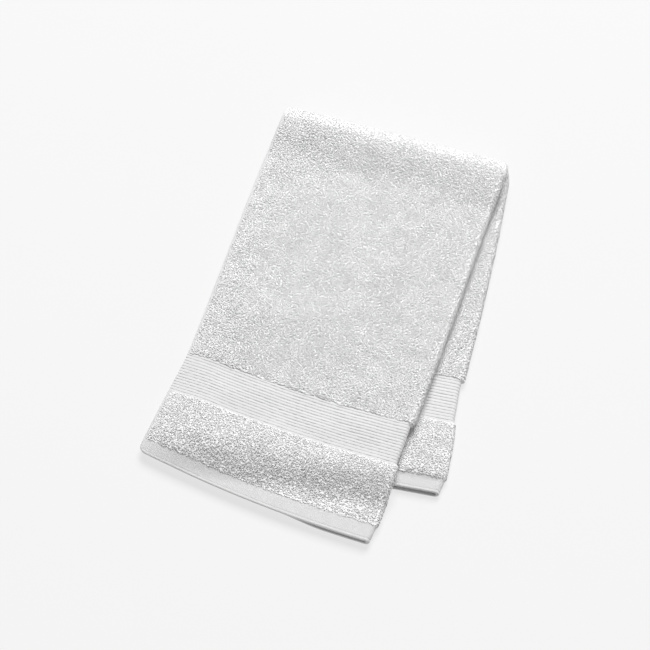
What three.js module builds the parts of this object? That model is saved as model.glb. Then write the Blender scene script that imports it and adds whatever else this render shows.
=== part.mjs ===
import * as THREE from 'three';
import { mergeVertices } from 'three/addons/utils/BufferGeometryUtils.js';

// A hand towel of thick white terry, in millimetres with +Z up. It is one cloth, folded in half
// lengthwise and then crosswise, and it lies on its back half. The cross fold runs along X at the
// +Y end. The front half lies on top, swung a little to the left, and hangs down past the edges of
// the back half. The origin is on the underside, near the middle.

// Flat cloth, hem to hem and selvage to selvage
const WIDTH = 406;
const LENGTH = 660;

// Bands from each end of the cloth: hem, pile stripe, border (plain band, then ribs), main pile
const HEM = 14.5;
const STRIPE = 52;
const PLAIN_BAND = 7;
const RIB_COUNT = 6;
const RIB_PITCH = 5.4;

// Thicknesses of the cloth, and the width over which the pile rounds off beside a thin band
const PILE_THICK = 5;
const HEM_THICK = 2.8;
const BORDER_THICK = 1.9;
const RIB_RISE = 1.1;
const SELVAGE_THICK = 2.4;
const SELVAGE_WIDTH = 2.5;
const SHOULDER = 4;

// Folded layers: distance between two layers, and the bend of the cross fold at the middle of a pair
const LAYER_PITCH = 5.6;
const FOLD_RADIUS = 9.5;
const FOLD_LINE_Y = 163;

// Flat length from each hem to where the cross fold starts to bend
const FOLD_ARC = Math.PI * FOLD_RADIUS;
const BACK_RUN = 292;
const FRONT_RUN = LENGTH - FOLD_ARC - BACK_RUN;

// How the front half sinks from the crest of the fold and over the edges of the back half
const SETTLE_RUN = 42;
const SIDE_DROOP_START = -2;
const SIDE_DROOP_RUN = 60;
const HEM_DROOP_START = -16;
const HEM_DROOP_RUN = 40;
const HEM_DROOP_LATE = 1.35;
const FLOOR_CLEARANCE = 0.3;

// The upper layer of the back half sinks along its thin hem
const BACK_HEM_SINK = 2;

// The second layer's hem stops a little short of the first one's. On the front half it shows near the
// folded edge, up to a share of the width.
const UNDER_LAG = 2;
const UNDER_SHOW = 0.4;
const UNDER_SHOW_SHARE = 0.2;

// How far the ends of the cross fold are rounded off
const FOLD_END_ROUND = 4;

// The thin bands draw in at the folded edge, easing in over a short run
const BORDER_DRAW_IN = 1.8;
const HEM_DRAW_IN = 1;
const DRAW_IN_EASE = 2;

// How each half lies. hem: flat distance from its hem. reach: distance from the fold line at the
// folded edge. folded, selvage: X of its two side edges. rise: how much nearer the fold the selvage
// end of a cross line is. bow: how far the cross line bulges from the fold at its middle.
const FRONT_LAY = [
  { hem: 0, reach: 347.5, folded: 79, selvage: -127.6, rise: 24.5, bow: 5 },
  { hem: 14.5, reach: 332.5, folded: 80.8, selvage: -126.2, rise: 21, bow: 4.8 },
  { hem: 66.5, reach: 281.3, folded: 84.5, selvage: -118.8, rise: 15.5, bow: 4 },
  { hem: 105.9, reach: 242.5, folded: 86.8, selvage: -112.9, rise: 12.7, bow: 4.7 },
  { hem: 202, reach: 143, folded: 93, selvage: -107.8, rise: 7, bow: 2 },
  { hem: 290, reach: 51.5, folded: 97.2, selvage: -103.3, rise: 3, bow: 0.5 },
  { hem: FRONT_RUN, reach: 0, folded: 101.5, selvage: -98.5, rise: 0, bow: 0 },
];
const BACK_LAY = [
  { hem: 0, reach: 292, folded: 122.5, selvage: -80, rise: -17, bow: 0 },
  { hem: 14.5, reach: 278.6, folded: 123.6, selvage: -80, rise: -17, bow: 0 },
  { hem: 66.5, reach: 229, folded: 119.5, selvage: -84, rise: -15.5, bow: 0 },
  { hem: 105.9, reach: 189, folded: 115.6, selvage: -87.5, rise: -13.5, bow: 0 },
  { hem: 163, reach: 130, folded: 113.5, selvage: -89.5, rise: -8, bow: 0 },
  { hem: 245, reach: 50, folded: 108.8, selvage: -94, rise: -3, bow: 0 },
  { hem: BACK_RUN, reach: 0, folded: 104.5, selvage: -96.5, rise: 0, bow: 0 },
];

// Soft swells of the front half: middle, half widths and height
const SWELLS = [
  { x: 40, y: 30, across: 55, along: 60, height: 1.4 },
  { x: -45, y: 70, across: 45, along: 40, height: 1.1 },
  { x: -45, y: -18, across: 50, along: 32, height: 3 },
  { x: 60, y: -75, across: 35, along: 35, height: 1 },
];

// Rows and columns of points: shares of a shoulder, a stripe and a rib, then steps and counts
const SHOULDER_STEPS = [0, 0.25, 1];
const STRIPE_STEPS = [0.36, 0.64];
const RIB_STEPS = [0, 0.28, 0.72];
const MAIN_ROW_STEP = 16;
const FOLD_ROWS = 9;
const LAYER_COLUMNS = 8;
const BEND_COLUMNS = 6;

const BORDER_LOW = HEM + STRIPE;
const RIBS_LOW = BORDER_LOW + PLAIN_BAND;
const BORDER_HIGH = RIBS_LOW + RIB_COUNT * RIB_PITCH;
const BEND_RADIUS = LAYER_PITCH / 2;
const HALF_BEND = (Math.PI / 2) * BEND_RADIUS;
const LAYER_WIDTH = WIDTH / 2 - HALF_BEND;
const PAIR_HALF = BEND_RADIUS + PILE_THICK / 2;
const FRONT_LEVEL = PAIR_HALF + 2 * LAYER_PITCH;
const FOLD_TOP = PAIR_HALF + 2 * FOLD_RADIUS;

const smooth = (t) => THREE.MathUtils.smoothstep(t, 0, 1);
const mix = THREE.MathUtils.lerp;

// A quarter-round rise from 0 to 1 over the width of a shoulder
function shoulder(distance) {
  const left = 1 - THREE.MathUtils.clamp(distance / SHOULDER, 0, 1);
  return Math.sqrt(1 - left * left);
}

// Slope of a lay column at one of its rows, from the rows on both sides
function layTangent(rows, index, column) {
  const before = rows[Math.max(index - 1, 0)];
  const after = rows[Math.min(index + 1, rows.length - 1)];
  return (after[column] - before[column]) / (after.hem - before.hem);
}

// One lay column at a distance from the hem, on a smooth curve through the rows
function layColumn(rows, hem, column) {
  let index = 0;
  while (index < rows.length - 2 && hem > rows[index + 1].hem) {
    index += 1;
  }
  const low = rows[index];
  const high = rows[index + 1];
  const span = high.hem - low.hem;
  const t = (hem - low.hem) / span;
  const lowSlope = layTangent(rows, index, column) * span;
  const highSlope = layTangent(rows, index + 1, column) * span;
  const bend = 3 * (high[column] - low[column]) - 2 * lowSlope - highSlope;
  const twist = 2 * (low[column] - high[column]) + lowSlope + highSlope;
  return low[column] + t * (lowSlope + t * (bend + t * twist));
}

function layAt(rows, hem) {
  const columns = ['reach', 'folded', 'selvage', 'rise', 'bow'];
  return Object.fromEntries(columns.map((column) => [column, layColumn(rows, hem, column)]));
}

// Thickness of the cloth at a distance from its nearer hem and its nearer selvage
function clothThickness(hem, side) {
  let thick = mix(BORDER_THICK, PILE_THICK, shoulder(hem - BORDER_HIGH));
  if (hem < HEM) {
    thick = HEM_THICK;
  } else if (hem < BORDER_LOW) {
    const start = mix(HEM_THICK, PILE_THICK, shoulder(hem - HEM));
    thick = Math.min(start, mix(BORDER_THICK, PILE_THICK, shoulder(BORDER_LOW - hem)));
  } else if (hem > RIBS_LOW && hem < BORDER_HIGH) {
    const phase = ((hem - RIBS_LOW) / RIB_PITCH) % 1;
    thick = BORDER_THICK + RIB_RISE * Math.sqrt(Math.sin(Math.PI * phase));
  }
  const edge = Math.min(SELVAGE_THICK, thick);
  return mix(edge, thick, shoulder(side - SELVAGE_WIDTH));
}

// How far the folded edge draws in at a distance from the hem
function drawIn(hem) {
  const past = smooth((hem - BORDER_LOW) / DRAW_IN_EASE);
  const border = past * smooth((BORDER_HIGH - hem) / DRAW_IN_EASE);
  const end = smooth((HEM - hem) / DRAW_IN_EASE);
  return BORDER_DRAW_IN * border + HEM_DRAW_IN * end;
}

// How far a point in plan lies outside the back half, past its selvage or its hem
function pastBackHalf(x, y) {
  const end = BACK_LAY[0];
  const start = BACK_LAY[BACK_LAY.length - 1];
  const length = end.reach - end.rise;
  const selvage = mix(start.selvage, end.selvage, (FOLD_LINE_Y - y) / length);
  const across = (end.folded - x) / (end.folded - end.selvage);
  const hem = FOLD_LINE_Y - end.reach + end.rise * across;
  return [selvage - x, hem - y];
}

// Height of the middle of the front pair of layers
function frontHeight(x, y, reach) {
  const settled = smooth(reach / SETTLE_RUN);
  let lift = 0;
  for (const swell of SWELLS) {
    const dx = (x - swell.x) / swell.across;
    const dy = (y - swell.y) / swell.along;
    lift += swell.height * Math.exp(-dx * dx - dy * dy);
  }
  const level = mix(FOLD_TOP, FRONT_LEVEL + lift, settled);
  const [pastSelvage, pastHem] = pastBackHalf(x, y);
  const beside = Math.max(pastSelvage - SIDE_DROOP_START, 0) / SIDE_DROOP_RUN;
  const below = Math.max(pastHem - HEM_DROOP_START, 0) / HEM_DROOP_RUN;
  const droop = smooth(Math.hypot(beside, below ** HEM_DROOP_LATE));
  return mix(level, PAIR_HALF + FLOOR_CLEARANCE, droop);
}

// Height of a point of the back pair, from its height over the middle of the pair before it is turned
function backHeight(height, hem) {
  const upper = THREE.MathUtils.clamp(0.5 - height / (2 * BEND_RADIUS), 0, 1);
  const sink = BACK_HEM_SINK * upper * smooth((HEM + SHOULDER - hem) / (2 * SHOULDER));
  return PAIR_HALF - height - sink;
}

// Lengthwise fold: across is the flat distance from the middle of the cloth, offset is the height
// over its middle surface. Gives the distance in from the folded edge and the height over the pair.
function pairSection(across, offset) {
  const radius = BEND_RADIUS + offset;
  const angle = THREE.MathUtils.clamp(across / BEND_RADIUS, -Math.PI / 2, Math.PI / 2);
  const run = Math.max(Math.abs(across) - HALF_BEND, 0);
  return { inset: run + PAIR_HALF - radius * Math.cos(angle), height: -radius * Math.sin(angle) };
}

// Place of a point of the cloth: across from its middle, along from the front hem, offset from its
// middle surface, as the towel lies folded
function foldedPoint(across, along, offset) {
  const { inset, height } = pairSection(across, offset);
  const share = inset / (LAYER_WIDTH + PAIR_HALF);
  const turn = THREE.MathUtils.clamp((along - FRONT_RUN) / FOLD_RADIUS, 0, Math.PI);
  const front = layAt(FRONT_LAY, Math.min(along, FRONT_RUN));
  const back = layAt(BACK_LAY, Math.min(LENGTH - along, BACK_RUN));
  const half = turn < Math.PI ? front : back;
  const around = turn / Math.PI;
  const edge = mix(front.folded, back.folded, around) - drawIn(Math.min(along, LENGTH - along));
  const x = mix(edge, mix(front.selvage, back.selvage, around), share);
  const under = smooth((across + HALF_BEND) / (2 * HALF_BEND));
  const frontLag = mix(-UNDER_SHOW, UNDER_LAG, smooth(share / UNDER_SHOW_SHARE - 1));
  const lag = turn < Math.PI ? frontLag : UNDER_LAG;
  const reach = half.reach - lag * under * smooth(half.reach / FRONT_RUN);
  const flatY = FOLD_LINE_Y - reach + half.rise * share - 4 * half.bow * share * (1 - share);
  if (turn === 0) {
    return [x, flatY, frontHeight(x, flatY, reach) + height];
  }
  if (turn === Math.PI) {
    return [x, flatY, backHeight(height, LENGTH - along)];
  }
  const radius = FOLD_RADIUS + height;
  const foldX = x + FOLD_END_ROUND * (1 - Math.abs(Math.cos(turn))) * (2 * share - 1);
  return [foldX, FOLD_LINE_Y + radius * Math.sin(turn), PAIR_HALF + FOLD_RADIUS + radius * Math.cos(turn)];
}

// Distances from a hem at which the cloth gets a row of points, up to where the cross fold starts
function hemRows(run) {
  const rows = [0, HEM / 2];
  rows.push(...SHOULDER_STEPS.map((step) => HEM + step * SHOULDER));
  rows.push(...STRIPE_STEPS.map((step) => HEM + step * STRIPE));
  rows.push(...SHOULDER_STEPS.toReversed().map((step) => BORDER_LOW - step * SHOULDER));
  for (let rib = 0; rib < RIB_COUNT; rib += 1) {
    rows.push(...RIB_STEPS.map((step) => RIBS_LOW + (rib + step) * RIB_PITCH));
  }
  rows.push(...SHOULDER_STEPS.map((step) => BORDER_HIGH + step * SHOULDER));
  const from = BORDER_HIGH + SHOULDER;
  const count = Math.round((run - from) / MAIN_ROW_STEP);
  for (let row = 1; row <= count; row += 1) {
    rows.push(mix(from, run, row / count));
  }
  return rows;
}

// Rows along the whole cloth, from the front hem over the cross fold to the back hem
function alongRows() {
  const front = hemRows(FRONT_RUN);
  const back = hemRows(BACK_RUN).map((hem) => LENGTH - hem);
  const fold = [];
  for (let row = 1; row < FOLD_ROWS; row += 1) {
    fold.push(FRONT_RUN + (FOLD_ARC * row) / FOLD_ROWS);
  }
  return [...front, ...fold, ...back.toReversed()];
}

// Columns across the whole cloth, from the upper selvage round the folded edge to the under one
function acrossColumns() {
  const edge = WIDTH / 2;
  const upper = [edge, edge - SELVAGE_WIDTH, edge - SELVAGE_WIDTH - SHOULDER];
  const from = upper[upper.length - 1];
  for (let column = 1; column <= LAYER_COLUMNS; column += 1) {
    upper.push(mix(from, HALF_BEND, column / LAYER_COLUMNS));
  }
  const bend = [];
  for (let column = 1; column < BEND_COLUMNS; column += 1) {
    bend.push(mix(-HALF_BEND, HALF_BEND, column / BEND_COLUMNS));
  }
  return [...upper.map((distance) => -distance), ...bend, ...upper.toReversed()];
}

function towelGeometry() {
  const along = alongRows();
  const across = acrossColumns();
  const columns = across.length - 1;
  const rows = along.length - 1;
  const box = new THREE.BoxGeometry(1, 1, 1, columns, rows, 1);
  box.deleteAttribute('normal');
  box.deleteAttribute('uv');
  const geometry = mergeVertices(box, 1e-6);
  const points = geometry.attributes.position;
  for (let i = 0; i < points.count; i += 1) {
    const u = across[Math.round((points.getX(i) + 0.5) * columns)];
    const v = along[Math.round((points.getY(i) + 0.5) * rows)];
    const side = WIDTH / 2 - Math.abs(u);
    const offset = points.getZ(i) * clothThickness(Math.min(v, LENGTH - v), side);
    points.setXYZ(i, ...foldedPoint(u, v, offset));
  }
  geometry.computeVertexNormals();
  return geometry;
}

const terry = new THREE.MeshStandardMaterial({ color: 0xe6e6e6, roughness: 0.95, metalness: 0 });
const cloth = new THREE.Mesh(towelGeometry(), terry);
cloth.name = 'towel';

const towel = new THREE.Group();
towel.add(cloth);

export default towel;
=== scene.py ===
import math

import bpy
import numpy as np
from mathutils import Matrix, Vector


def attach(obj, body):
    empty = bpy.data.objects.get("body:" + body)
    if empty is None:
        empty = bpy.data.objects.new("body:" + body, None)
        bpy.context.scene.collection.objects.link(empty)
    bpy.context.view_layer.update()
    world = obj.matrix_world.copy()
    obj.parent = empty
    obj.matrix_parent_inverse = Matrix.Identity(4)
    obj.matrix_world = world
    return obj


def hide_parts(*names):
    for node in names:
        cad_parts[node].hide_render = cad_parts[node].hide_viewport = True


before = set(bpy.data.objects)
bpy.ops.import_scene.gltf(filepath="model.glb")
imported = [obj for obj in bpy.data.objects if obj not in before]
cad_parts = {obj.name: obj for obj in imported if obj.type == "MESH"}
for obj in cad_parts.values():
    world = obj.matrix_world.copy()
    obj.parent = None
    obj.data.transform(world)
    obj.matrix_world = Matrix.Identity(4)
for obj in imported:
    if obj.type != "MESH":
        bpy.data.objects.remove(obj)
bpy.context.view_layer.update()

# Lengths of the towel are in millimetres and are turned into metres where a mesh is made
MM = 0.001
SEED = 20

# Flat cloth and its bands from each end: hem, pile stripe, border (plain band, then ribs), main pile
WIDTH = 406.0
LENGTH = 660.0
HEM = 14.5
STRIPE = 52.0
PLAIN_BAND = 7.0
RIB_COUNT = 6
RIB_PITCH = 5.4

# Thicknesses of the cloth. Where loops are modelled the ground cloth under them is thinner.
PILE_THICK = 5.0
GROUND_THICK = 3.2
HEM_THICK = 2.8
BORDER_THICK = 1.9
RIB_RISE = 0.5
SELVAGE_THICK = 2.4
SELVAGE_WIDTH = 2.5
SHOULDER = 4.0
SOFT_SHOULDER = 16.0
EDGE_ROUND = 1.0
EDGE_THIN = 0.45
CORNER_ROUND = 6.5

# Ribs waver near the selvages and fade there and at the folded edge
RIB_WAVER = 1.1
RIB_WAVER_LENGTH = 19.0
RIB_WAVER_REACH = 28.0
RIB_FADE_AT_FOLD = 0.4
RIB_FADE_AT_SELVAGE = 0.6
RIB_FADE_REACH = 20.0

# Each rib has a faint groove along its middle, and the ribs rise to their full height from the plain band
FAINT_GROOVE_WIDTH = 0.1
FAINT_GROOVE_DEPTH = 0.4
LOWEST_RIB = 0.45
RIB_GROWTH = 4.0

# The hem has a pressed line near its edge and shallow puckers along it, in two overlaid waves
HEM_LINE_AT = 2.3
HEM_LINE_WIDTH = 0.55
HEM_LINE_DEPTH = 0.5
PUCKER_LENGTH = 13.0
PUCKER_RISE = 0.42
SECOND_PUCKER_RISE = 0.7
SECOND_PUCKER_RATE = 0.61
SECOND_PUCKER_PHASE = 1.0

# Folded layers, and how the front half settles and hangs down past the back half
LAYER_PITCH = 5.6
FOLD_RADIUS = 9.5
FOLD_LINE_Y = 163.0
FOLD_ARC = math.pi * FOLD_RADIUS
BACK_RUN = 292.0
FRONT_RUN = LENGTH - FOLD_ARC - BACK_RUN
SETTLE_RUN = 42.0
SIDE_DROOP_START = -2.0
SIDE_DROOP_RUN = 60.0
HEM_DROOP_START = -16.0
HEM_DROOP_RUN = 40.0
HEM_DROOP_LATE = 1.35
BACK_HEM_SINK = 2.0
FLOOR_CLEARANCE = 0.3
UNDER_LAG = 2.0
UNDER_SHOW = 0.4
UNDER_SHOW_SHARE = 0.2
FOLD_END_ROUND = 4.0
BORDER_DRAW_IN = 1.8
HEM_DRAW_IN = 1.0
DRAW_IN_EASE = 2.0

# How each half lies. Columns: flat distance from its hem, distance from the fold line at the folded
# edge, X of the folded edge, X of the selvages, how much nearer the fold the selvage end of a cross
# line is, and how far the cross line bulges from the fold at its middle
HEM_AT, REACH, FOLDED, SELVAGE, RISE, BOW = range(6)
FRONT_LAY = np.array([
    (0, 347.5, 79, -127.6, 24.5, 5),
    (14.5, 332.5, 80.8, -126.2, 21, 4.8),
    (66.5, 281.3, 84.5, -118.8, 15.5, 4),
    (105.9, 242.5, 86.8, -112.9, 12.7, 4.7),
    (202, 143, 93, -107.8, 7, 2),
    (290, 51.5, 97.2, -103.3, 3, 0.5),
    (FRONT_RUN, 0, 101.5, -98.5, 0, 0),
])
BACK_LAY = np.array([
    (0, 292, 122.5, -80, -17, 0),
    (14.5, 278.6, 123.6, -80, -17, 0),
    (66.5, 229, 119.5, -84, -15.5, 0),
    (105.9, 189, 115.6, -87.5, -13.5, 0),
    (163, 130, 113.5, -89.5, -8, 0),
    (245, 50, 108.8, -94, -3, 0),
    (BACK_RUN, 0, 104.5, -96.5, 0, 0),
])

# Soft swells of the front half: middle x and y, half widths across and along, height
SWELLS = np.array([
    (40, 30, 55, 60, 1.4),
    (-45, 70, 45, 40, 1.1),
    (-45, -18, 50, 32, 3.0),
    (60, -75, 35, 35, 1.0),
])

# Low ripples of the front half: wavelength, heading, phase, height
RIPPLES = np.array([
    (43, 0.4, 0.0, 0.22),
    (35, 1.9, 1.3, 0.18),
    (27, 2.7, 2.1, 0.13),
    (21, 1.2, 4.0, 0.09),
])

# Spacing of the rows and columns of the cloth mesh
HEM_LINE_STEP = 0.4
HEM_STEP = 1.5
SHOULDER_STEP = 0.8
STRIPE_STEP = 4.4
SOFT_STEP = 2.0
PLAIN_STEP = 1.4
STEPS_A_RIB = 14
PILE_STEP = 6.0
FOLD_STEP = 1.4
SELVAGE_STEP = 0.9
COLUMN_STEP = 4.4
BEND_STEP = 0.7
EDGE_STEPS = EDGE_ROUND * np.array([0, 0.12, 0.4])

BORDER_LOW = HEM + STRIPE
RIBS_LOW = BORDER_LOW + PLAIN_BAND
BORDER_HIGH = RIBS_LOW + RIB_COUNT * RIB_PITCH
BEND_RADIUS = LAYER_PITCH / 2
HALF_BEND = math.pi / 2 * BEND_RADIUS
LAYER_WIDTH = WIDTH / 2 - HALF_BEND
PAIR_HALF = BEND_RADIUS + PILE_THICK / 2
FRONT_LEVEL = PAIR_HALF + 2 * LAYER_PITCH
FOLD_TOP = PAIR_HALF + 2 * FOLD_RADIUS

# Loops of the pile: spacing, width, height over the ground cloth, and yarn radius
LOOP_PITCH = 1.5
LOOP_WIDTH = 1.2
LOOP_HEIGHT = 0.42
LOOP_YARN = 0.56
LOOP_SINK = 0.4

# How far the shading of the loops is turned to that of the cloth they stand on, as fluff softens it
SHADING_SOFTNESS = 0.55

# Loops of the stripes, which grow and thin out towards the hem
STRIPE_PITCH = 1.5
STRIPE_SCALE = 0.86
STRIPE_GROWTH = 0.16
STRIPE_THINNING = 0.3

# Loops are pressed down over the cross fold, near the selvages and where a stripe meets its border,
# and they differ in size from patch to patch
FOLD_PRESS = 0.75
FOLD_PRESS_REACH = 26.0
SELVAGE_PRESS = 0.3
SELVAGE_PRESS_REACH = 24.0
STRIPE_PRESS = 0.15
PATCH_SPREAD = 0.12
PATCH_LENGTH = 13.0

# How loops lean and turn: together in patches, and each one by itself
LEAN_TOGETHER = 0.22
LEAN_PATCH = 20.0
LEAN_ALONE = 0.15
TURN_ALONE = 1.2
LOOP_SCATTER = 0.2
SIZE_SPREAD = 0.08
LOOP_SKEW = 0.12
LOOP_SWING = 0.3
DARKEST_TONE = 0.9

# Random fields are sums of plane waves, of wavelengths around the stated one
WAVE_COUNT = 6
WAVE_SPREAD = (0.7, 1.5)

# A row of loops along most edges of the pile leans out over the thin band beside it. Where a stripe
# meets its border the pile has a soft, uneven edge instead, with smaller loops.
EDGE_INSET = 0.8
EDGE_PITCH = 1.3
EDGE_LEAN = 0.4
EDGE_LOOSE = 0.7
EDGE_WANDER = 0.6
EDGE_WAVE = 9.0
EDGE_ROUGHNESS = 0.6
EDGE_SIZE = 0.85
SOFT_EDGE_SIZE = 0.85
SOFT_EDGE_REACH = 5.0
SOFT_EDGE_WANDER = 0.7
SOFT_EDGE_WAVE = 11.0

# Loops cover the faces that show, round the folded edges and a little under the front half, and stay
# above the floor
BEND_WRAP = 7.0
COVER_MARGIN = 8.0
SHOWN_SHARE = 0.6
LOWEST_LOOP = 0.05
LOOPS_PER_PIECE = 9000

# Rings along a loop: place across its width, height, and yarn radius, as shares
RING_SPREAD = np.array([-0.46, -0.28, 0.28, 0.46])
RING_LIFT = np.array([0.0, 1.0, 1.0, 0.0])
RING_YARN = np.array([0.85, 1.05, 1.05, 0.85])
RINGS = len(RING_LIFT)
CORNERS = 3
CORNER_TURN = 0.25

# Bands with pile, along the cloth: start, end, loop spacing, loop size, soft edges
PILE_BANDS = [
    (HEM, BORDER_LOW, STRIPE_PITCH, STRIPE_SCALE, [BORDER_LOW]),
    (BORDER_HIGH, LENGTH - BORDER_HIGH, LOOP_PITCH, 1.0, []),
    (LENGTH - BORDER_LOW, LENGTH - HEM, STRIPE_PITCH, STRIPE_SCALE, [LENGTH - BORDER_LOW]),
]


def smooth(t):
    t = np.clip(t, 0, 1)
    return t * t * (3 - 2 * t)


def mix(a, b, t):
    return a + (b - a) * t


def shoulder(distance):
    left = 1 - np.clip(distance / SHOULDER, 0, 1)
    return np.sqrt(1 - left * left)


def lay_at(rows, hem):
    """Columns of a lay table at distances from the hem, on smooth curves through its rows."""
    key = rows[:, HEM_AT]
    slopes = np.empty_like(rows)
    slopes[1:-1] = (rows[2:] - rows[:-2]) / (key[2:] - key[:-2])[:, None]
    slopes[0] = (rows[1] - rows[0]) / (key[1] - key[0])
    slopes[-1] = (rows[-1] - rows[-2]) / (key[-1] - key[-2])
    low = np.clip(np.searchsorted(key, hem) - 1, 0, len(key) - 2)
    span = (key[low + 1] - key[low])[..., None]
    t = (hem - key[low])[..., None] / span
    start, end = rows[low], rows[low + 1]
    start_slope, end_slope = slopes[low] * span, slopes[low + 1] * span
    bend = 3 * (end - start) - 2 * start_slope - end_slope
    twist = 2 * (start - end) + start_slope + end_slope
    return np.moveaxis(start + t * (start_slope + t * (bend + t * twist)), -1, 0)


def rib_height(across, hem):
    """Ribs of the border, from 0 to 1: a deep groove between ribs and a faint one along each."""
    side = WIDTH / 2 - np.abs(across)
    within = np.clip((hem - RIBS_LOW) / (BORDER_HIGH - RIBS_LOW), 0, 1)
    waver = np.sin(2 * math.pi * across / RIB_WAVER_LENGTH) * np.sin(math.pi * within)
    shifted = hem + RIB_WAVER * np.exp(-side / RIB_WAVER_REACH) * waver
    phase = np.mod((shifted - RIBS_LOW) / RIB_PITCH, 1)
    broad = np.sqrt(np.abs(np.sin(math.pi * phase)))
    faint = np.exp(-(((phase - 0.5) / FAINT_GROOVE_WIDTH) ** 2))
    fade = RIB_FADE_AT_FOLD * np.exp(-((across / RIB_FADE_REACH) ** 2))
    fade = fade + RIB_FADE_AT_SELVAGE * np.exp(-side / RIB_FADE_REACH)
    start = mix(LOWEST_RIB, 1, smooth(RIB_GROWTH * within))
    return start * broad * (1 - FAINT_GROOVE_DEPTH * faint) * (1 - fade)


def hem_thickness(across, hem):
    """Thickness of the hem, with its pressed line and its puckers."""
    line = HEM_LINE_DEPTH * np.exp(-(((hem - HEM_LINE_AT) / HEM_LINE_WIDTH) ** 2))
    turn = 2 * math.pi * across / PUCKER_LENGTH
    second = np.sin(SECOND_PUCKER_RATE * turn + SECOND_PUCKER_PHASE)
    pucker = np.sin(turn) + SECOND_PUCKER_RISE * second
    return HEM_THICK - line + PUCKER_RISE * pucker * smooth(hem / HEM)


def cloth_thickness(across, hem, pile):
    """Thickness of the cloth at places across it and from its nearer hem, for a pile thickness."""
    main = mix(BORDER_THICK, pile, shoulder(hem - BORDER_HIGH))
    from_hem = mix(HEM_THICK, pile, shoulder(hem - HEM))
    to_border = mix(BORDER_THICK, pile, smooth((BORDER_LOW - hem) / SOFT_SHOULDER))
    ribs = BORDER_THICK + RIB_RISE * rib_height(across, hem)
    zones = [hem < HEM, hem < BORDER_LOW, hem <= RIBS_LOW, hem < BORDER_HIGH]
    bands = [hem_thickness(across, hem), np.minimum(from_hem, to_border), BORDER_THICK + 0 * hem, ribs]
    thick = np.select(zones, bands, main)
    side = WIDTH / 2 - np.abs(across)
    edge = np.minimum(SELVAGE_THICK, thick)
    thick = mix(edge, thick, shoulder(side - SELVAGE_WIDTH))
    rounding = np.clip(np.minimum(hem, side) / EDGE_ROUND, 0, 1)
    return thick * mix(EDGE_THIN, 1, np.sqrt(1 - (1 - rounding) ** 2))


def draw_in(hem):
    border = smooth((hem - BORDER_LOW) / DRAW_IN_EASE) * smooth((BORDER_HIGH - hem) / DRAW_IN_EASE)
    return BORDER_DRAW_IN * border + HEM_DRAW_IN * smooth((HEM - hem) / DRAW_IN_EASE)


def past_back_half(x, y):
    """How far points in plan lie past the selvage and past the hem of the back half."""
    end, start = BACK_LAY[0], BACK_LAY[-1]
    length = end[REACH] - end[RISE]
    selvage = mix(start[SELVAGE], end[SELVAGE], (FOLD_LINE_Y - y) / length)
    across = (end[FOLDED] - x) / (end[FOLDED] - end[SELVAGE])
    hem = FOLD_LINE_Y - end[REACH] + end[RISE] * across
    return selvage - x, hem - y


def front_height(x, y, reach):
    """Height of the middle of the front pair of layers."""
    settled = smooth(reach / SETTLE_RUN)
    lift = np.zeros_like(x)
    for middle_x, middle_y, across, along, height in SWELLS:
        lift += height * np.exp(-(((x - middle_x) / across) ** 2) - ((y - middle_y) / along) ** 2)
    for length, heading, phase, height in RIPPLES:
        run = x * math.cos(heading) + y * math.sin(heading)
        lift += height * (1 + np.sin(2 * math.pi * run / length + phase))
    level = FRONT_LEVEL + (FOLD_TOP - FRONT_LEVEL) * (1 - settled) + lift * settled
    past_selvage, past_hem = past_back_half(x, y)
    beside = np.maximum(past_selvage - SIDE_DROOP_START, 0) / SIDE_DROOP_RUN
    below = np.maximum(past_hem - HEM_DROOP_START, 0) / HEM_DROOP_RUN
    droop = smooth(np.hypot(beside, below**HEM_DROOP_LATE))
    return mix(level, PAIR_HALF + FLOOR_CLEARANCE, droop)


def back_height(height, hem):
    """Height of points of the back pair, whose upper layer sinks along its thin hem."""
    upper = np.clip(0.5 - height / (2 * BEND_RADIUS), 0, 1)
    return PAIR_HALF - height - BACK_HEM_SINK * upper * smooth((HEM + SHOULDER - hem) / (2 * SHOULDER))


def rounded(across, along):
    """Flat places, moved in near the corners of the cloth so that the corners are round."""
    beside = np.clip(1 - (WIDTH / 2 - np.abs(across)) / CORNER_ROUND, 0, 1)
    below = np.clip(1 - np.minimum(along, LENGTH - along) / CORNER_ROUND, 0, 1)
    pull = 1 - np.maximum(beside, below) / np.maximum(np.hypot(beside, below), 1e-9)
    pull = CORNER_ROUND * np.clip(pull, 0, 1)
    across = across - np.sign(across) * beside * pull
    return across, along + np.where(along < LENGTH / 2, 1, -1) * below * pull


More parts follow.
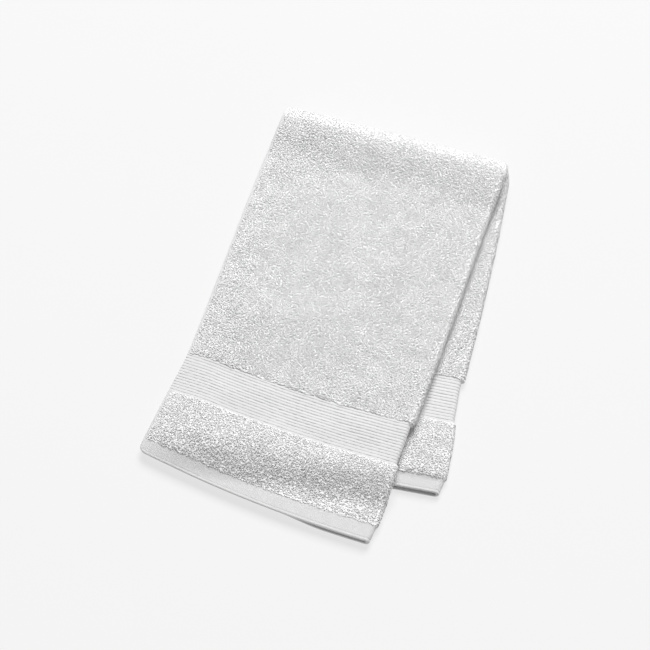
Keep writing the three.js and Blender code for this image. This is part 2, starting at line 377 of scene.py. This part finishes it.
def folded_points(across, along, offset):
    """Places of points of the cloth: across from its middle, along from the front hem, and offset
    from its middle surface, as the towel lies folded. In millimetres."""
    across, along = rounded(across, along)
    radius = BEND_RADIUS + offset
    angle = np.clip(across / BEND_RADIUS, -math.pi / 2, math.pi / 2)
    run = np.maximum(np.abs(across) - HALF_BEND, 0)
    share = (run + PAIR_HALF - radius * np.cos(angle)) / (LAYER_WIDTH + PAIR_HALF)
    height = -radius * np.sin(angle)
    turn = np.clip((along - FRONT_RUN) / FOLD_RADIUS, 0, math.pi)
    front = lay_at(FRONT_LAY, np.minimum(along, FRONT_RUN))
    back = lay_at(BACK_LAY, np.minimum(LENGTH - along, BACK_RUN))
    on_back = along >= FRONT_RUN + FOLD_ARC
    half = np.where(on_back, back, front)
    around = turn / math.pi
    edge = mix(front[FOLDED], back[FOLDED], around) - draw_in(np.minimum(along, LENGTH - along))
    x = mix(edge, mix(front[SELVAGE], back[SELVAGE], around), share)
    under = smooth((across + HALF_BEND) / (2 * HALF_BEND))
    lag = mix(-UNDER_SHOW, UNDER_LAG, smooth(share / UNDER_SHOW_SHARE - 1))
    lag = np.where(on_back, UNDER_LAG, lag)
    reach = half[REACH] - lag * under * smooth(half[REACH] / FRONT_RUN)
    flat_y = FOLD_LINE_Y - reach + half[RISE] * share - 4 * half[BOW] * share * (1 - share)
    around_radius = FOLD_RADIUS + height
    fold_y = FOLD_LINE_Y + around_radius * np.sin(turn)
    fold_z = PAIR_HALF + FOLD_RADIUS + around_radius * np.cos(turn)
    in_fold = (turn > 0) & ~on_back
    x = x + np.where(in_fold, FOLD_END_ROUND * (1 - np.abs(np.cos(turn))) * (2 * share - 1), 0)
    y = np.where(in_fold, fold_y, flat_y)
    z = np.where(on_back, back_height(height, LENGTH - along), front_height(x, flat_y, reach) + height)
    return np.stack([x, y, np.where(in_fold, fold_z, z)], -1)


def front_edge_x(y):
    """X of the front half's folded edge at places along Y."""
    return np.interp(FOLD_LINE_Y - y, FRONT_LAY[::-1, REACH], FRONT_LAY[::-1, FOLDED])


def looped_share(across, along):
    """1 where the outer face shows and carries loops, 0 where it is hidden against another layer."""
    front = 1 - smooth((across - BEND_WRAP) / BEND_WRAP)
    plan = folded_points(across, along, np.zeros_like(across))
    shown = smooth((plan[..., 0] - front_edge_x(plan[..., 1]) + COVER_MARGIN + BEND_WRAP) / BEND_WRAP)
    back = shown * smooth((across + 2 * BEND_WRAP) / BEND_WRAP)
    return np.where(along < FRONT_RUN + FOLD_ARC, front, back)


def outer_offset(across, along):
    """Height of the outer face of the ground cloth over its middle surface."""
    hem = np.minimum(along, LENGTH - along)
    pile = mix(PILE_THICK, GROUND_THICK, looped_share(across, along))
    return cloth_thickness(across, hem, pile) / 2


def steps(start, end, step):
    """Even steps from start up to, but not including, end."""
    count = max(1, round((end - start) / step))
    return np.linspace(start, end, count, endpoint=False)


def hem_rows(run):
    """Distances from a hem at which the cloth mesh gets a row of points, up to the cross fold."""
    return np.concatenate([
        EDGE_STEPS,
        steps(EDGE_ROUND, 2 * HEM_LINE_AT, HEM_LINE_STEP),
        steps(2 * HEM_LINE_AT, HEM, HEM_STEP),
        steps(HEM, HEM + SHOULDER, SHOULDER_STEP),
        steps(HEM + SHOULDER, BORDER_LOW - SOFT_SHOULDER, STRIPE_STEP),
        steps(BORDER_LOW - SOFT_SHOULDER, BORDER_LOW, SOFT_STEP),
        steps(BORDER_LOW, RIBS_LOW, PLAIN_STEP),
        steps(RIBS_LOW, BORDER_HIGH, RIB_PITCH / STEPS_A_RIB),
        steps(BORDER_HIGH, BORDER_HIGH + SHOULDER, SHOULDER_STEP),
        steps(BORDER_HIGH + SHOULDER, run, PILE_STEP),
    ])


def cloth_rows():
    fold = steps(FRONT_RUN, FRONT_RUN + FOLD_ARC, FOLD_STEP)
    back = LENGTH - np.append(hem_rows(BACK_RUN), BACK_RUN)
    return np.concatenate([hem_rows(FRONT_RUN), fold, back[::-1]])


def cloth_columns():
    inset = np.concatenate([
        EDGE_STEPS,
        steps(EDGE_ROUND, SELVAGE_WIDTH + SHOULDER, SELVAGE_STEP),
        steps(SELVAGE_WIDTH + SHOULDER, LAYER_WIDTH, COLUMN_STEP),
    ])
    upper = inset - WIDTH / 2
    bend = steps(-HALF_BEND, HALF_BEND, BEND_STEP)
    return np.concatenate([upper, bend, [HALF_BEND], -upper[::-1]])


def new_object(name, points, faces, materials, material_of_face=None):
    """A smooth mesh object from points in millimetres and lists of equal-sided faces."""
    mesh = bpy.data.meshes.new(name)
    mesh.vertices.add(len(points))
    mesh.vertices.foreach_set("co", (points * MM).astype(np.float32).ravel())
    corners = np.concatenate([group.ravel() for group in faces])
    sides = np.concatenate([np.full(len(group), group.shape[1]) for group in faces])
    mesh.loops.add(len(corners))
    mesh.loops.foreach_set("vertex_index", corners.astype(np.int32))
    mesh.polygons.add(len(sides))
    starts = np.concatenate([[0], np.cumsum(sides)[:-1]])
    mesh.polygons.foreach_set("loop_start", starts.astype(np.int32))
    for material in materials:
        mesh.materials.append(material)
    if material_of_face is not None:
        mesh.polygons.foreach_set("material_index", material_of_face.astype(np.int32))
    mesh.polygons.foreach_set("use_smooth", np.ones(len(sides), bool))
    mesh.update(calc_edges=True)
    mesh.validate()
    piece = bpy.data.objects.new(name, mesh)
    bpy.context.scene.collection.objects.link(piece)
    return piece


def add_attribute(piece, name, values):
    made = piece.data.attributes.new(name, "FLOAT", "POINT")
    made.data.foreach_set("value", values.astype(np.float32).ravel())


def add_flat_map(piece, flat):
    """A UV map of the piece's corners by their places on the flat cloth."""
    low, high = flat.min(0), flat.max(0)
    layer = piece.data.uv_layers.new(name="OFBake")
    layer.uv.foreach_set("vector", ((flat - low) / (high - low)).astype(np.float32).ravel())


def grid_faces(rows, columns, first=0):
    index = first + np.arange(rows * columns).reshape(rows, columns)
    quads = [index[:-1, :-1], index[:-1, 1:], index[1:, 1:], index[1:, :-1]]
    return np.stack(quads, -1).reshape(-1, 4)


def rim_faces(outer, inner):
    """Quads that join two open runs of points along one edge of the cloth."""
    return np.stack([outer[:-1], inner[:-1], inner[1:], outer[1:]], -1)


# Places of the cloth's materials in its list
TERRY, RIBBED, PLAIN_WEAVE = range(3)


def make_cloth(materials):
    """The whole cloth as one closed sheet, folded, with its ribs, hems and selvages."""
    along = cloth_rows()
    across = cloth_columns()
    rows, columns = len(along), len(across)
    u, v = np.meshgrid(across, along)
    hem = np.minimum(v, LENGTH - v)
    side = WIDTH / 2 - np.abs(u)
    inner = -cloth_thickness(u, hem, PILE_THICK) / 2
    points = np.stack([folded_points(u, v, outer_offset(u, v)), folded_points(u, v, inner)])
    count = rows * columns
    index = np.arange(2 * count).reshape(2, rows, columns)
    rims = np.concatenate([
        rim_faces(index[0, 0], index[1, 0]),
        rim_faces(index[0, -1, ::-1], index[1, -1, ::-1]),
        rim_faces(index[0, ::-1, 0], index[1, ::-1, 0]),
        rim_faces(index[0, :, -1], index[1, :, -1]),
    ])
    outer_faces = grid_faces(rows, columns)
    faces = np.concatenate([outer_faces, (outer_faces + count)[:, ::-1], rims])
    face_hem = hem.ravel()[faces % count].mean(1)
    face_side = side.ravel()[faces % count].mean(1)
    zones = [face_hem < HEM, (face_hem > BORDER_LOW) & (face_hem < BORDER_HIGH), face_side < SELVAGE_WIDTH]
    kind = np.select(zones, [PLAIN_WEAVE, RIBBED, PLAIN_WEAVE], TERRY)
    piece = new_object("towel_cloth", points.reshape(-1, 3), [faces], materials, kind)
    add_attribute(piece, "across", np.tile(u.ravel(), 2))
    add_attribute(piece, "along", np.tile(v.ravel(), 2))
    flat = np.stack([u.ravel(), v.ravel()], -1)
    flat = np.concatenate([flat, flat + [WIDTH + HEM, 0]])
    corners = np.concatenate([faces[:-len(rims)].ravel(), rims.ravel() % count])
    add_flat_map(piece, flat[corners])
    return piece


def waves(x, y, wavelength, rng):
    """A smooth random field from -1 to 1 made of a few plane waves."""
    total = np.zeros_like(x)
    for _ in range(WAVE_COUNT):
        heading = rng.uniform(0, 2 * math.pi)
        length = wavelength * rng.uniform(*WAVE_SPREAD)
        phase = rng.uniform(0, 2 * math.pi)
        total += np.sin((x * math.cos(heading) + y * math.sin(heading)) * 2 * math.pi / length + phase)
    return total / (WAVE_COUNT / 2)


def scattered(low, high, pitch, rng):
    """Flat places in staggered rows with some scatter, between two distances along the cloth."""
    half = WIDTH / 2 - SELVAGE_WIDTH
    u, v = np.meshgrid(np.arange(-half, half, pitch), np.arange(low, high, pitch * math.sqrt(3) / 2))
    u[1::2] += pitch / 2
    u = u + rng.normal(0, LOOP_SCATTER, u.shape) * pitch
    v = v + rng.normal(0, LOOP_SCATTER, v.shape) * pitch
    keep = (np.abs(u) < half) & (v > low) & (v < high)
    return u[keep], v[keep]


def loop_places(rng):
    """Flat places of the loops that show, their sizes, and which way those at an edge lean."""
    found = []
    half = WIDTH / 2 - SELVAGE_WIDTH
    for low, high, pitch, size, soft_edges in PILE_BANDS:
        inset = EDGE_INSET + pitch / 2
        u, v = scattered(low, high, pitch, rng)
        scale = np.full(len(u), size)
        kept = np.ones(len(u), bool)
        for place, lean in ((low, -1.0), (high, 1.0)):
            inside = -lean * (v - place)
            row = np.arange(-half, half, EDGE_PITCH)
            if place in soft_edges:
                kept &= inside > SOFT_EDGE_WANDER * (1 + waves(u, 0 * u, SOFT_EDGE_WAVE, rng))
                scale *= mix(SOFT_EDGE_SIZE, 1, smooth(inside / SOFT_EDGE_REACH))
                continue
            kept &= inside > inset
            scale *= mix(EDGE_SIZE, 1, smooth(inside / SHOULDER))
            wander = waves(row, 0 * row, EDGE_WAVE, rng) + rng.normal(0, EDGE_ROUGHNESS, len(row))
            wander = EDGE_WANDER * wander
            edge_row = place - lean * EDGE_INSET + wander
            found.append((row, edge_row, np.full(len(row), size * EDGE_SIZE), np.full(len(row), lean)))
        found.append((u[kept], v[kept], scale[kept], np.zeros(kept.sum())))
    u, v, size, edge = (np.concatenate(column) for column in zip(*found))
    hem = np.minimum(v, LENGTH - v)
    low_stripe = np.where(edge == 0, 1 - smooth((hem - HEM) / STRIPE), 0)
    size = size * (1 + STRIPE_GROWTH * low_stripe + PATCH_SPREAD * waves(u, v, PATCH_LENGTH, rng))
    thinned = rng.uniform(0, 1, len(u)) < STRIPE_THINNING * low_stripe
    shown = (looped_share(u, v) > SHOWN_SHARE) & ~thinned
    return u[shown], v[shown], size[shown], edge[shown]


def unit(vectors):
    return vectors / np.linalg.norm(vectors, axis=-1, keepdims=True)


def cloth_frame(u, v, ground):
    """Directions across and along the cloth, and its outward normal, at flat places."""
    delta = 0.5
    across = unit(folded_points(u + delta, v, ground) - folded_points(u - delta, v, ground))
    along = folded_points(u, v + delta, ground) - folded_points(u, v - delta, ground)
    normal = unit(np.cross(across, along))
    return across, np.cross(normal, across), normal


def pressed(u, v):
    """How far loops are pressed down, as a share of their height, at flat places."""
    hem = np.minimum(v, LENGTH - v)
    side = (WIDTH / 2 - np.abs(u)) / SELVAGE_PRESS_REACH
    fold = np.exp(-(((v - FRONT_RUN - FOLD_ARC / 2) / FOLD_PRESS_REACH) ** 2))
    by_border = np.where(hem < BORDER_LOW, smooth((hem - HEM) / STRIPE), 0)
    press = FOLD_PRESS * fold + STRIPE_PRESS * by_border
    return mix(press, 1, SELVAGE_PRESS * np.exp(-side * side))


def loop_tubes(u, v, size, edge, rng):
    """Points of the loops as tubes, the flat places of these points, and the cloth's normals."""
    count = len(u)
    ground = outer_offset(u, v)
    foot = folded_points(u, v, ground - LOOP_SINK)
    across, along, normal = cloth_frame(u, v, ground)
    loose = np.where(edge == 0, 1.0, EDGE_LOOSE)
    heading = np.where(edge == 0, math.pi / 2, 0) + loose * rng.normal(0, TURN_ALONE, count)
    arm = np.cos(heading)[:, None] * across + np.sin(heading)[:, None] * along
    thin = np.cross(normal, arm)
    lean_u = LEAN_TOGETHER * waves(u, v, LEAN_PATCH, rng) + rng.normal(0, LEAN_ALONE, count)
    lean_v = LEAN_TOGETHER * waves(u, v, LEAN_PATCH, rng) + rng.normal(0, LEAN_ALONE, count)
    lean_u, lean_v = loose * lean_u, loose * lean_v + EDGE_LEAN * edge
    lean = lean_u[:, None] * across + lean_v[:, None] * along
    size = size * (1 + loose * rng.normal(0, SIZE_SPREAD, count))
    height = size * LOOP_HEIGHT * (1 - pressed(u, v)) + LOOP_SINK
    skew = loose * rng.normal(0, LOOP_SKEW, count)
    lift = RING_LIFT * (1 + skew[:, None] * np.sign(RING_SPREAD))
    swing = loose * rng.normal(0, LOOP_SWING, count)
    centre = foot[:, None] + (size * LOOP_WIDTH)[:, None, None] * RING_SPREAD[:, None] * arm[:, None]
    centre = centre + (height[:, None] * lift)[..., None] * normal[:, None]
    centre = centre + lift[..., None] * lean[:, None]
    centre = centre + (swing[:, None] * RING_SPREAD)[..., None] * thin[:, None]
    tangent = unit(np.gradient(centre, axis=1))
    beside = unit(np.cross(tangent, np.cross(thin[:, None], tangent)))
    out = np.cross(tangent, beside)
    corner = 2 * math.pi * (np.arange(CORNERS) + CORNER_TURN) / CORNERS
    ring = np.cos(corner)[:, None] * beside[:, :, None] + np.sin(corner)[:, None] * out[:, :, None]
    yarn = LOOP_YARN * size[:, None] * RING_YARN
    points = centre[:, :, None] + yarn[..., None, None] * ring
    flat = np.stack([u, v], -1)[:, None, None] + np.zeros((1, RINGS, CORNERS, 2))
    run = (LOOP_WIDTH * RING_SPREAD)[None, :, None]
    wide = LOOP_YARN * np.cos(corner)[None, None, :]
    flat[..., 0] += run * np.cos(heading)[:, None, None] - wide * np.sin(heading)[:, None, None]
    flat[..., 1] += run * np.sin(heading)[:, None, None] + wide * np.cos(heading)[:, None, None]
    return points, flat, normal


def loop_faces(count):
    """Side quads and end triangles of the loop tubes."""
    base = RINGS * CORNERS * np.arange(count)[:, None, None]
    ring = CORNERS * np.arange(RINGS - 1)[:, None]
    corner = np.arange(CORNERS)
    after = (corner + 1) % CORNERS
    quads = np.stack([ring + corner, ring + after, ring + CORNERS + after, ring + CORNERS + corner], -1)
    quads = (base[..., None] + quads[None]).reshape(-1, 4)
    ends = np.stack([corner[::-1], CORNERS * (RINGS - 1) + corner])
    ends = (base + ends[None]).reshape(-1, CORNERS)
    return [quads, ends]


def soften_shading(piece, outward):
    """Turns the shading normals of a piece part of the way to other normals."""
    own = np.empty(3 * len(piece.data.vertices), np.float32)
    piece.data.vertex_normals.foreach_get("vector", own)
    soft = unit(mix(own.reshape(-1, 3), outward, SHADING_SOFTNESS))
    piece.data.normals_split_custom_set_from_vertices(soft.tolist())


def make_loops(material):
    """The pile as joined meshes of loops, each over a stretch of the cloth."""
    rng = np.random.default_rng(SEED)
    u, v, size, edge = loop_places(rng)
    tubes, flat, normal = loop_tubes(u, v, size, edge, rng)
    tone = rng.uniform(DARKEST_TONE, 1, len(u))
    clear = tubes[..., 2].min((1, 2)) > -LOOP_SINK
    tubes[..., 2] = np.maximum(tubes[..., 2], LOWEST_LOOP)
    order = np.flatnonzero(clear)
    order = order[np.argsort(v[order], kind="stable")]
    pieces = []
    for part, chosen in enumerate(np.array_split(order, math.ceil(len(order) / LOOPS_PER_PIECE))):
        faces = loop_faces(len(chosen))
        piece = new_object(f"terry_loops_{part + 1}", tubes[chosen].reshape(-1, 3), faces, [material])
        soften_shading(piece, np.repeat(normal[chosen], RINGS * CORNERS, axis=0))
        add_attribute(piece, "tone", np.repeat(tone[chosen], RINGS * CORNERS))
        corners = np.concatenate([group.ravel() for group in faces])
        add_flat_map(piece, flat[chosen].reshape(-1, 2)[corners])
        pieces.append(piece)
    return pieces


# Looks of the cotton. Greys are given as pairs, with the span of a factor over which they change, and
# bumps are heights in millimetres
SPECULAR = 0.15
SHEEN_ROUGHNESS = 0.5
PILE_ROUGHNESS = 1.0
WEAVE_ROUGHNESS = 0.9
LOOP_SHEEN = 0.1
GROUND_SHEEN = 0.2
WEAVE_SHEEN = 0.1
LOOP_GLOW = 0.8
LOOP_GLOW_DEPTH = 1.3
LOOP_GREYS = (0.88, 0.99)
LOOP_SPAN = (0.34, 0.58)
PATCH_STRETCH = (1, 0.6, 1)
PATCH_SCALE = 38.0
PATCH_DETAIL = 4.0
FIBRE_SCALE = 2600.0
FIBRE_DETAIL = 2.0
FIBRE_BUMP = 0.12
FIBRE_STRENGTH = 0.6
# The ground's greys are white cotton darkened as painted shade: darker than the loops, and darkest away from
# each nub's middle
GROUND_GREYS_WITH_SHADE = (0.92, 0.84)
NUB_BUMP = -0.9
# The border's dark dash lines are painted shade, spaced as the deep and faint grooves of the ribs
LINE_WIDTH = 0.5
DASH_STRETCH = (0.25, 0.8, 1)
DASH_DETAIL = 2.0
GROOVE_SHADE_GREYS = (0.71, 0.46)
GROOVE_SHADE_SPAN = (0.45, 0.6)
DASH_BUMP = -0.6
THREAD_LENGTH = 1.3
THREAD_PITCH = 0.65
THREAD_GAP = 0.12
THREAD_GREYS = (0.81, 0.71)
THREAD_BUMP = -0.15


def principled(name, roughness, sheen):
    material = bpy.data.materials.new(name)
    material.use_nodes = True
    shader = material.node_tree.nodes["Principled BSDF"]
    shader.inputs["Roughness"].default_value = roughness
    shader.inputs["Specular IOR Level"].default_value = SPECULAR
    shader.inputs["Sheen Weight"].default_value = sheen
    shader.inputs["Sheen Roughness"].default_value = SHEEN_ROUGHNESS
    return material, material.node_tree, shader


def add_node(tree, kind, inputs=None, **settings):
    """A node with its settings, and its named inputs set or linked."""
    node = tree.nodes.new(kind)
    for key, value in settings.items():
        setattr(node, key, value)
    for key, value in (inputs or {}).items():
        if isinstance(value, bpy.types.NodeSocket):
            tree.links.new(value, node.inputs[key])
        else:
            node.inputs[key].default_value = value
    return node


def link_greys(tree, shader, factor, greys, span=(0.0, 1.0)):
    """Links a grey that goes from one to the other of a pair, over a span of a factor, to the colour."""
    ramp = add_node(tree, "ShaderNodeValToRGB", {"Fac": factor})
    for element, place, grey in zip(ramp.color_ramp.elements, span, greys):
        element.position = place
        element.color = (grey, grey, grey, 1)
    tree.links.new(ramp.outputs["Color"], shader.inputs["Base Color"])


def add_bump(tree, shader, height, depth, strength=1.0):
    bump = add_node(tree, "ShaderNodeBump", {"Height": height, "Distance": depth * MM, "Strength": strength})
    tree.links.new(bump.outputs["Normal"], shader.inputs["Normal"])


def flat_place(tree):
    """Place on the flat cloth in millimetres, as a vector."""
    across = add_node(tree, "ShaderNodeAttribute", attribute_name="across")
    along = add_node(tree, "ShaderNodeAttribute", attribute_name="along")
    place = add_node(tree, "ShaderNodeCombineXYZ", {"X": across.outputs["Fac"], "Y": along.outputs["Fac"]})
    return place.outputs["Vector"]


def loop_material():
    """White cotton loops: each a little lighter or darker, in soft patches, with a fibre grain."""
    material, tree, shader = principled("terry_loops", PILE_ROUGHNESS, LOOP_SHEEN)
    shader.inputs["Subsurface Weight"].default_value = LOOP_GLOW
    shader.inputs["Subsurface Radius"].default_value = (1, 1, 1)
    shader.inputs["Subsurface Scale"].default_value = LOOP_GLOW_DEPTH * MM
    tone = add_node(tree, "ShaderNodeAttribute", attribute_name="tone")
    place = add_node(tree, "ShaderNodeTexCoord").outputs["Object"]
    streaks = add_node(tree, "ShaderNodeMapping", {"Vector": place, "Scale": PATCH_STRETCH})
    patches = add_node(
        tree, "ShaderNodeTexNoise",
        {"Vector": streaks.outputs["Vector"], "Scale": PATCH_SCALE, "Detail": PATCH_DETAIL},
    )
    shades = {0: tone.outputs["Fac"], 1: patches.outputs["Fac"]}
    both = add_node(tree, "ShaderNodeMath", shades, operation="MULTIPLY")
    link_greys(tree, shader, both.outputs[0], LOOP_GREYS, LOOP_SPAN)
    fine = {"Vector": place, "Scale": FIBRE_SCALE, "Detail": FIBRE_DETAIL}
    fibres = add_node(tree, "ShaderNodeTexNoise", fine)
    add_bump(tree, shader, fibres.outputs["Fac"], FIBRE_BUMP, FIBRE_STRENGTH)
    return material


def ground_material():
    """The cloth under the loops, and the pile of the faces that carry no modelled loops, in white cotton
    darkened with painted shade for the gaps between loops.
    """
    material, tree, shader = principled("terry_ground", PILE_ROUGHNESS, GROUND_SHEEN)
    place = flat_place(tree)
    nubs_with_shade = add_node(tree, "ShaderNodeTexVoronoi", {"Vector": place, "Scale": 1 / LOOP_PITCH})
    # Painted shade: the grey darkens away from the middle of each nub, as in the gaps between loops
    link_greys(tree, shader, nubs_with_shade.outputs["Distance"], GROUND_GREYS_WITH_SHADE)
    add_bump(tree, shader, nubs_with_shade.outputs["Distance"], NUB_BUMP)
    return material


def border_material():
    """Ribs of closely beaten weft, with broken dark lines of short dash marks along them: painted shade at
    the spacing of the ribs' deep and faint grooves.
    """
    material, tree, shader = principled("woven_border", WEAVE_ROUGHNESS, WEAVE_SHEEN)
    place = flat_place(tree)
    row = RIB_PITCH / 2
    first_line = (WIDTH, -(RIBS_LOW % row), 0)
    on_rows = add_node(tree, "ShaderNodeMapping", {"Vector": place, "Location": first_line})
    lines = add_node(
        tree, "ShaderNodeTexBrick",
        {"Vector": on_rows.outputs["Vector"], "Scale": 1.0, "Mortar Size": LINE_WIDTH,
         "Mortar Smooth": 1.0, "Brick Width": 4 * WIDTH, "Row Height": row},
    )
    along_rows = add_node(tree, "ShaderNodeMapping", {"Vector": place, "Scale": DASH_STRETCH})
    uneven = add_node(
        tree, "ShaderNodeTexNoise",
        {"Vector": along_rows.outputs["Vector"], "Scale": 1.0, "Detail": DASH_DETAIL},
    )
    # Painted groove shade: lines at the groove spacing, broken into short dash marks
    broken = {0: lines.outputs["Fac"], 1: uneven.outputs["Fac"]}
    groove_shade_dashes = add_node(tree, "ShaderNodeMath", broken, operation="MULTIPLY")
    link_greys(tree, shader, groove_shade_dashes.outputs[0], GROOVE_SHADE_GREYS, GROOVE_SHADE_SPAN)
    add_bump(tree, shader, groove_shade_dashes.outputs[0], DASH_BUMP)
    return material


def hem_material():
    """Plain weave of the hem and the selvages."""
    material, tree, shader = principled("woven_hem", WEAVE_ROUGHNESS, WEAVE_SHEEN)
    place = flat_place(tree)
    threads = add_node(
        tree, "ShaderNodeTexBrick",
        {"Vector": place, "Scale": 1.0, "Mortar Size": THREAD_GAP, "Mortar Smooth": 1.0,
         "Brick Width": THREAD_LENGTH, "Row Height": THREAD_PITCH},
    )
    link_greys(tree, shader, threads.outputs["Fac"], THREAD_GREYS)
    add_bump(tree, shader, threads.outputs["Fac"], THREAD_BUMP)
    return material


# Floor: half its side in metres, its grey and its glow
FLOOR_HALF = 4.0
FLOOR_GREY = 0.2
FLOOR_GLOW = 0.68


def plain_floor():
    """A pale floor that glows, so that the shadow on it stays soft."""
    material, tree, shader = principled("floor_white", WEAVE_ROUGHNESS, 0.0)
    shader.inputs["Base Color"].default_value = (FLOOR_GREY, FLOOR_GREY, FLOOR_GREY, 1)
    shader.inputs["Emission Color"].default_value = (1, 1, 1, 1)
    shader.inputs["Emission Strength"].default_value = FLOOR_GLOW
    mesh = bpy.data.meshes.new("floor")
    low, high = -FLOOR_HALF, FLOOR_HALF
    corners = [(low, low, 0), (high, low, 0), (high, high, 0), (low, high, 0)]
    mesh.from_pydata(corners, [], [(0, 1, 2, 3)])
    mesh.materials.append(material)
    floor = bpy.data.objects.new("floor", mesh)
    bpy.context.scene.collection.objects.link(floor)


# A large light behind and above the towel, and a weak even light all round
KEY_PLACE = (-0.15, 2.68, 3.55)
KEY_SIZE = 2.4
KEY_POWER = 238.0
WORLD_LIGHT = 0.32


def light_studio():
    world = bpy.data.worlds.new("studio")
    world.use_nodes = True
    background = world.node_tree.nodes["Background"]
    background.inputs["Color"].default_value = (1, 1, 1, 1)
    background.inputs["Strength"].default_value = WORLD_LIGHT
    bpy.context.scene.world = world
    lamp = bpy.data.lights.new("key", "AREA")
    lamp.size = KEY_SIZE
    lamp.energy = KEY_POWER
    key = bpy.data.objects.new("key", lamp)
    key.location = KEY_PLACE
    key.rotation_euler = (-Vector(KEY_PLACE)).to_track_quat("-Z", "Y").to_euler()
    bpy.context.scene.collection.objects.link(key)
    bpy.context.scene.view_settings.view_transform = "Standard"


# Camera at the photograph's angle
CAMERA_AZIMUTH = math.radians(16.08)
CAMERA_ELEVATION = math.radians(66.0)
CAMERA_DISTANCE = 2.4
FRAME_PIXELS = 650
METRES_A_PIXEL = 0.84 * MM
CAMERA_TARGET = Vector((-11.1, -8.5, 7.7)) * MM


def place_camera():
    back = Vector((
        math.sin(CAMERA_AZIMUTH) * math.cos(CAMERA_ELEVATION),
        -math.cos(CAMERA_AZIMUTH) * math.cos(CAMERA_ELEVATION),
        math.sin(CAMERA_ELEVATION),
    ))
    data = bpy.data.cameras.new("camera")
    data.lens = data.sensor_width * CAMERA_DISTANCE / (FRAME_PIXELS * METRES_A_PIXEL)
    camera = bpy.data.objects.new("camera", data)
    camera.location = CAMERA_TARGET + back * CAMERA_DISTANCE
    camera.rotation_euler = (-back).to_track_quat("-Z", "Y").to_euler()
    bpy.context.scene.collection.objects.link(camera)
    bpy.context.scene.camera = camera


def main():
    place_camera()
    light_studio()
    plain_floor()
    cloth = make_cloth([ground_material(), border_material(), hem_material()])
    loops = make_loops(loop_material())
    for piece in [cloth, *loops]:
        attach(piece, "root")
    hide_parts("towel")


main()
